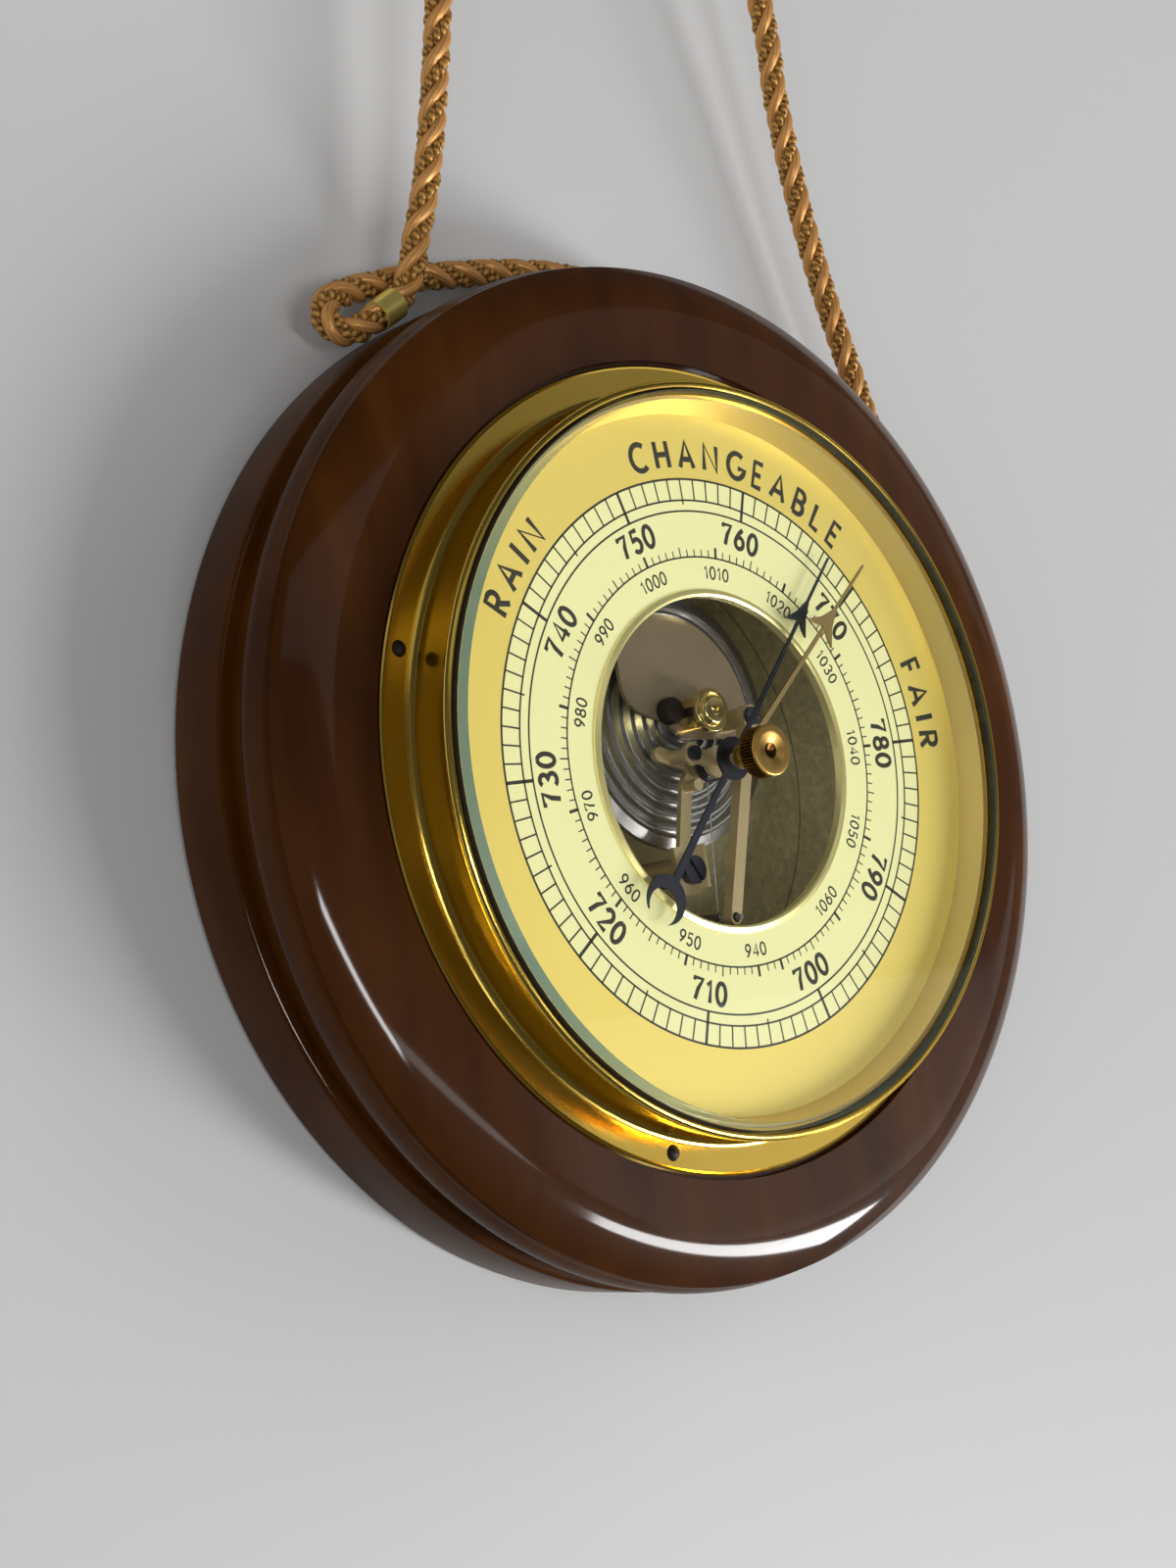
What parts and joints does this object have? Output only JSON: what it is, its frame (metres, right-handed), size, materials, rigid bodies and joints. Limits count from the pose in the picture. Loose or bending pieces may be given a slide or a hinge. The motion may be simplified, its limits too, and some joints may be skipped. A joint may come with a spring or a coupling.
{
  "type": "wall barometer",
  "caption": "Round aneroid wall barometer with a brass case in a turned dark wooden ring, an open dial showing the movement, a set hand, and a twisted hanging cord on a wall peg.",
  "frame": {"origin": "centre of the wooden ring's rear face, on the wall and on the pointer axis", "axes": "+Z towards the top of the dial, +Y from the dial back into the wall, +X to the right of someone who reads the dial"},
  "size_m": [0.1804, 0.042, 0.3612],
  "materials": {
    "wood": "dark brown gloss lacquer",
    "brass": "polished and lacquered",
    "case_brass": "dull brushed",
    "dial_gold": "brushed gold with a printed pale scale",
    "clear_glass": "clear, bevelled",
    "putty": "dark glazing putty",
    "hand_brass": "satin",
    "blued_steel": "heat blued",
    "movement_brass": "satin, slightly tarnished",
    "steel": "bright drawn",
    "capsule_silver": "polished corrugated",
    "spring_steel": "polished, tinted brown",
    "dark_nail": "oxidised",
    "cord_gold": "satin twisted cord"
  },
  "bodies": {
    "case": {"wood_base": "wood", "brass_case": "brass", "case_cup": "case_brass", "dial_seat": "case_brass", "dial_plate": "dial_gold", "opening_trim": "brass", "reflector_ring": "brass", "bezel_ring": "brass", "glass_seal": "putty", "glass": "clear_glass", "glass_bush": "brass", "knob_washer": "brass", "hairspring": "blued_steel", "pointer_bridge": "movement_brass", "pointer_cock": "movement_brass", "cock_pillars": "movement_brass", "cock_screw": "blued_steel", "bridge_pillar": "movement_brass", "bridge_screw": "blued_steel", "movement_plate": "movement_brass", "shaft_bracket": "movement_brass", "capsule": "capsule_silver", "spring_bend": "spring_steel", "movement_screws": "steel", "flange_nails": "dark_nail", "hanging_cord": "cord_gold", "cord_ferrule": "brass", "cord_clip": "brass", "peg_plate": "brass", "peg_stem": "brass", "peg_knob": "brass"},
    "set_hand_body": {"set_knob": "brass", "set_arbor": "brass", "set_hand": "hand_brass"},
    "pointer_body": {"pointer": "blued_steel", "pointer_arbor": "movement_brass", "chain_drum": "movement_brass"},
    "lever_body": {"leaf_spring": "spring_steel", "leaf_stud": "dark_nail", "capsule_post": "movement_brass", "post_boss": "movement_brass", "lever_spacer": "movement_brass", "lever_screw": "blued_steel", "main_lever": "movement_brass"},
    "link_body": {"link": "steel"},
    "rocker_body": {"rocker_shaft": "steel", "chain_arm": "steel", "link_arm": "steel"},
    "chain_body": {"chain": "steel"},
    "adjuster_body": {"adjusting_screw": "brass"}
  },
  "joints": [
    {"name": "set_hand_turn", "type": "hinge", "parent": "case", "child": "set_hand_body", "pos_m": [0, -0.035, 0], "axis": [0, 1, 0], "continuous": true},
    {"name": "pointer_turn", "type": "hinge", "parent": "case", "child": "pointer_body", "pos_m": [0, -0.033, 0], "axis": [0, 1, 0], "range_deg": [-241.2, 100.8]},
    {"name": "rocker_turn", "type": "hinge", "parent": "case", "child": "rocker_body", "pos_m": [-0.0019, -0.0126, -0.0251], "axis": [0.9934, 0, -0.1149], "range_deg": [-19, 8]},
    {"name": "lever_rock", "type": "hinge", "parent": "case", "child": "lever_body", "pos_m": [0, -0.0167, 0.031], "axis": [1, 0, 0], "range_deg": [-1.4, 0.6]},
    {"name": "link_slide", "type": "slide", "parent": "case", "child": "link_body", "axis": [0, 1, 0], "range_m": [-0.0014, 0.0007]},
    {"name": "chain_slide", "type": "slide", "parent": "case", "child": "chain_body", "axis": [0.1149, 0, 0.9934], "range_m": [-0.002, 0.0045]},
    {"name": "adjuster_turn", "type": "hinge", "parent": "case", "child": "adjuster_body", "pos_m": [0, -0.0055, 0.0085], "axis": [0, 1, 0], "range_deg": [-180, 180]}
  ],
  "couplings": [
    {"joint": "rocker_turn", "follows": "pointer_turn", "ratio": 0.0769},
    {"joint": "lever_rock", "follows": "pointer_turn", "ratio": 0.00545},
    {"joint": "link_slide", "follows": "pointer_turn", "m_per_rad": 0.000308},
    {"joint": "chain_slide", "follows": "pointer_turn", "m_per_rad": -0.001}
  ]
}
